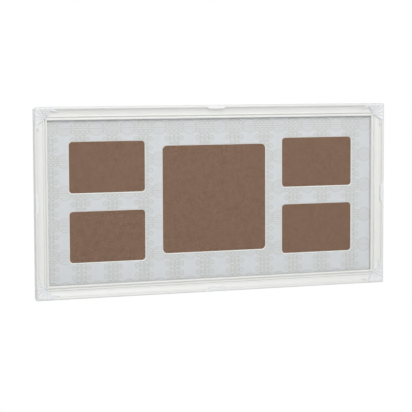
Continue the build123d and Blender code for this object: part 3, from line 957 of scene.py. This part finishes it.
def add_screw(bm, seat):
    """A round-head screw with a cross recess, its head on a seat that faces the back."""
    hardware = settings().hardware
    made = bmesh.ops.create_grid(bm, x_segments=SCREW_CELLS, y_segments=SCREW_CELLS, size=1)["verts"]
    arm, half = [2 * cells / SCREW_CELLS for cells in CROSS_SHAPE]
    cross = []
    for face in dict.fromkeys(face for vert in made for face in vert.link_faces):
        near, far = sorted(abs(place) for place in face.calc_center_median().xy)
        if near < arm and far < half:
            cross.append(face)
    dome = hardware.head_height - hardware.head_rim
    for vert in made:
        x = vert.co.x * sqrt(1 - vert.co.y**2 / 2)
        y = vert.co.y * sqrt(1 - vert.co.x**2 / 2)
        up = hardware.head_rim + dome * (1 - min(hypot(x, y), 1)**2.2)
        vert.co = Vector((x * hardware.head_radius, up, y * hardware.head_radius))
    skirt = draw_rims(bm, 0)
    floor = verts_in(bmesh.ops.extrude_face_region(bm, geom=cross)["geom"])
    bmesh.ops.delete(bm, geom=cross, context="FACES")
    bmesh.ops.scale(bm, verts=floor, vec=(CROSS_TAPER, 1, CROSS_TAPER))
    bmesh.ops.translate(bm, verts=floor, vec=(0, -hardware.recess_depth, 0))
    close_holes(bm)
    shank = bmesh.ops.create_cone(
        bm, cap_ends=True, segments=16, radius1=hardware.shank_radius, radius2=hardware.shank_radius,
        depth=hardware.shank_length, matrix=Matrix.Rotation(radians(90), 4, "X"),
    )["verts"]
    bmesh.ops.translate(bm, verts=shank, vec=(0, SHANK_OVERLAP - hardware.shank_length / 2, 0))
    head = [vert for vert in made if vert.is_valid]
    bmesh.ops.translate(bm, verts=head + skirt + floor + shank, vec=seat)


def button_seats():
    """Seats of the turn buttons' screws, from the joints that the buttons turn on."""
    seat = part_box("turn_button_screws")[1].y - settings().hardware.head_height
    pivots = [joint["pos_m"] for joint in frame["joints"] if joint["name"].startswith("turn_button")]
    return [Vector((pivot[0], seat, pivot[2])) for pivot in pivots]


def hanger_seats():
    """Seats of the hanger screws, from the ends of their node."""
    low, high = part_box("hanger_screws")
    hardware = settings().hardware
    seat = high.y - hardware.head_height
    up = (low.z + high.z) / 2
    return [Vector((x, seat, up)) for x in (low.x + hardware.head_radius, high.x - hardware.head_radius)]


# Stage

def lay_floor():
    """A round floor under the hanging frame."""
    stage = settings().stage
    bm = bmesh.new()
    bmesh.ops.create_circle(bm, cap_ends=True, segments=96, radius=stage.floor_radius)
    bmesh.ops.translate(bm, verts=bm.verts, vec=(0, 0, -stage.floor_drop))
    floor = finish_piece(bm, "floor", (shared_material("paper_floor", paper_floor),))


def light_world():
    """Even light from all round, white where it is looked at."""
    world = bpy.data.worlds.new("studio")
    world.use_nodes = True
    tree = world.node_tree
    tree.nodes.clear()
    soft, white = [
        add_node(tree, "ShaderNodeBackground", {"Color": WHITE_LIGHT, "Strength": strength})
        for strength in (settings().stage.ambient, 1.0)
    ]
    add_node(tree, "ShaderNodeOutputWorld", {"Surface": mix_shaders(tree, seen_rays(tree), soft, white)})
    bpy.context.scene.world = world


def add_lamp(name, place, size, watts):
    """A square soft lamp that looks at the middle of the frame."""
    data = bpy.data.lights.new(name, "AREA")
    data.size = size
    data.energy = watts
    lamp = bpy.data.objects.new(name, data)
    lamp.location = place
    lamp.rotation_mode = "QUATERNION"
    lamp.rotation_quaternion = (MIDDLE - place).to_track_quat("-Z", "Y")
    lamp.visible_camera = False
    bpy.context.scene.collection.objects.link(lamp)


def light_lamps():
    """The key lamp from above, a lamp in front and a lamp behind."""
    stage = settings().stage
    add_lamp("key_lamp", Vector((0, -1.5, 1.4)), 1.4, stage.key_power)
    add_lamp("front_lamp", Vector((0, -2.7, 1.35)), 1.8, stage.front_power)
    add_lamp("back_lamp", Vector((-0.9, 2.1, 1.3)), 1.4, stage.back_power)


def set_camera():
    """The camera at the photograph's viewing angle."""
    stage = settings().stage
    data = bpy.data.cameras.new("camera")
    data.sensor_width = 36
    data.lens = stage.lens
    data.shift_y = stage.shift
    data.clip_start = 0.01
    camera = bpy.data.objects.new("camera", data)
    back = Vector((
        sin(stage.yaw) * cos(stage.pitch),
        -cos(stage.yaw) * cos(stage.pitch),
        sin(stage.pitch),
    ))
    camera.location = Vector((stage.aim_across, 0, stage.aim_up)) + back * stage.distance
    level = (-back).to_track_quat("-Z", "Y").to_matrix().to_4x4()
    camera.rotation_mode = "QUATERNION"
    camera.rotation_quaternion = (level @ Matrix.Rotation(stage.roll, 4, "Z")).to_quaternion()
    bpy.context.scene.collection.objects.link(camera)
    bpy.context.scene.camera = camera


# Operators

class PHOTOFRAME_OT_rails(bpy.types.Operator):
    """Moulds the four rails and mitres them"""
    bl_idname = "photo_frame.rails"
    bl_label = "Rails"

    def execute(self, context):
        lacquer = shared_material("satin_lacquer_coat", satin_lacquer, settings().moulding.white)
        for side in RAILS:
            upright = side in ("left", "right")
            grain = (1, 1, 0.06) if upright else (0.06, 1, 1)
            wood = shared_material("bare_wood_upright" if upright else "bare_wood_level", bare_wood, grain)
            piece = finish_piece(rail_mesh(side), f"{side}_rail_moulding", (lacquer, wood))
            stand_for(piece, "frame", "white_lacquer", f"{side}_rail")
        return {"FINISHED"}


class PHOTOFRAME_OT_corner_leaves(bpy.types.Operator):
    """Lays a leaf over each mitre"""
    bl_idname = "photo_frame.corner_leaves"
    bl_label = "Corner Leaves"

    def execute(self, context):
        white = settings().moulding.leaf_white
        # The leaf's lacquer carries painted shade in its furrows, from the hollow attribute
        lacquer = shared_material("leaf_lacquer_hollow_shade", satin_lacquer, white, "hollow")
        for corner, (turn, place) in CORNERS.items():
            bm = leaf_mesh()
            place_on(bm, turn, place)
            piece = finish_piece(bm, f"corner_leaf_{corner}", (lacquer,), ORNAMENT_SHARP)
            stand_for(piece, "frame", "white_ornament", f"corner_ornament_{corner}")
        return {"FINISHED"}


class PHOTOFRAME_OT_shells(bpy.types.Operator):
    """Lays a shell on the middle of each rail"""
    bl_idname = "photo_frame.shells"
    bl_label = "Shells"

    def execute(self, context):
        white = settings().moulding.shell_white
        # The shell's lacquer carries painted shade between its flutes, from the hollow attribute
        lacquer = shared_material("shell_lacquer_hollow_shade", satin_lacquer, white, "hollow")
        for side, (turn, _, place) in RAILS.items():
            bm = relief_mesh(Shell(), columns=140, rows=36)
            place_on(bm, turn, place)
            piece = finish_piece(bm, f"shell_{side}", (lacquer,), ORNAMENT_SHARP)
            stand_for(piece, "frame", "white_ornament", f"ornament_{side}")
        return {"FINISHED"}


class PHOTOFRAME_OT_sheets(bpy.types.Operator):
    """Finishes the glass, the printed mat and the backing board"""
    bl_idname = "photo_frame.sheets"
    bl_label = "Glass, Mat and Board"

    def execute(self, context):
        dress("pane", shared_material("picture_glass", clear_glass))
        dress("mat", shared_material("printed_mat_board", printed_mat))
        dress("backing_board", shared_material("brown_pressed_board", brown_hardboard))
        return {"FINISHED"}


class PHOTOFRAME_OT_screws(bpy.types.Operator):
    """Drives the screws of the turn buttons and hangers"""
    bl_idname = "photo_frame.screws"
    bl_label = "Screws"

    def execute(self, context):
        zinc = shared_material("bright_zinc_plate", zinc_plate)
        for name, seats in (("turn_button_screws", button_seats()), ("hanger_screws", hanger_seats())):
            bm = bmesh.new()
            for seat in seats:
                add_screw(bm, seat)
            piece = finish_piece(bm, f"{name}_cross_recess", (zinc,))
            stand_for(piece, "frame", "zinc_steel", name)
        return {"FINISHED"}


class PHOTOFRAME_OT_fittings(bpy.types.Operator):
    """Plates the turn buttons, hangers and V-nails with zinc"""
    bl_idname = "photo_frame.fittings"
    bl_label = "Buttons and Hangers"

    def execute(self, context):
        zinc = shared_material("bright_zinc_plate", zinc_plate)
        for node in frame["nodes"]:
            if node.startswith(FITTINGS) and not node.endswith("screws"):
                dress(node, zinc)
        return {"FINISHED"}


class PHOTOFRAME_OT_stage(bpy.types.Operator):
    """Sets the floor, the lamps and the camera"""
    bl_idname = "photo_frame.stage"
    bl_label = "Stage"

    def execute(self, context):
        lay_floor()
        light_world()
        light_lamps()
        set_camera()
        context.scene.view_settings.view_transform = "Standard"
        return {"FINISHED"}


OPERATORS = (
    PHOTOFRAME_OT_rails,
    PHOTOFRAME_OT_corner_leaves,
    PHOTOFRAME_OT_shells,
    PHOTOFRAME_OT_sheets,
    PHOTOFRAME_OT_screws,
    PHOTOFRAME_OT_fittings,
    PHOTOFRAME_OT_stage,
)


class PHOTOFRAME_PT_panel(bpy.types.Panel):
    """The photo frame's pieces and settings"""
    bl_idname = "PHOTOFRAME_PT_panel"
    bl_label = "Photo Frame"
    bl_space_type = "VIEW_3D"
    bl_region_type = "UI"
    bl_category = "Photo Frame"

    def draw(self, context):
        for operator in OPERATORS:
            self.layout.operator(operator.bl_idname)
        for group in ("moulding", "leaf", "shell", "sheets", "hardware", "stage"):
            box = self.layout.box()
            box.label(text=group.title())
            values = getattr(context.scene.photo_frame, group)
            for name in values.__annotations__:
                box.prop(values, name)


CLASSES = (
    MouldingSettings, LeafSettings, ShellSettings, SheetSettings, HardwareSettings, StageSettings,
    PhotoFrameSettings, *OPERATORS, PHOTOFRAME_PT_panel,
)


def register():
    """Registers the settings, operators and panel."""
    for cls in CLASSES:
        bpy.utils.register_class(cls)
    bpy.types.Scene.photo_frame = PointerProperty(type=PhotoFrameSettings)


def unregister():
    """Takes the settings, operators and panel out again."""
    del bpy.types.Scene.photo_frame
    for cls in reversed(CLASSES):
        bpy.utils.unregister_class(cls)


def main():
    """Makes the pieces in order."""
    register()
    bpy.ops.photo_frame.rails()
    bpy.ops.photo_frame.corner_leaves()
    bpy.ops.photo_frame.shells()
    bpy.ops.photo_frame.sheets()
    bpy.ops.photo_frame.screws()
    bpy.ops.photo_frame.fittings()
    bpy.ops.photo_frame.stage()


if __name__ == "__main__":
    main()
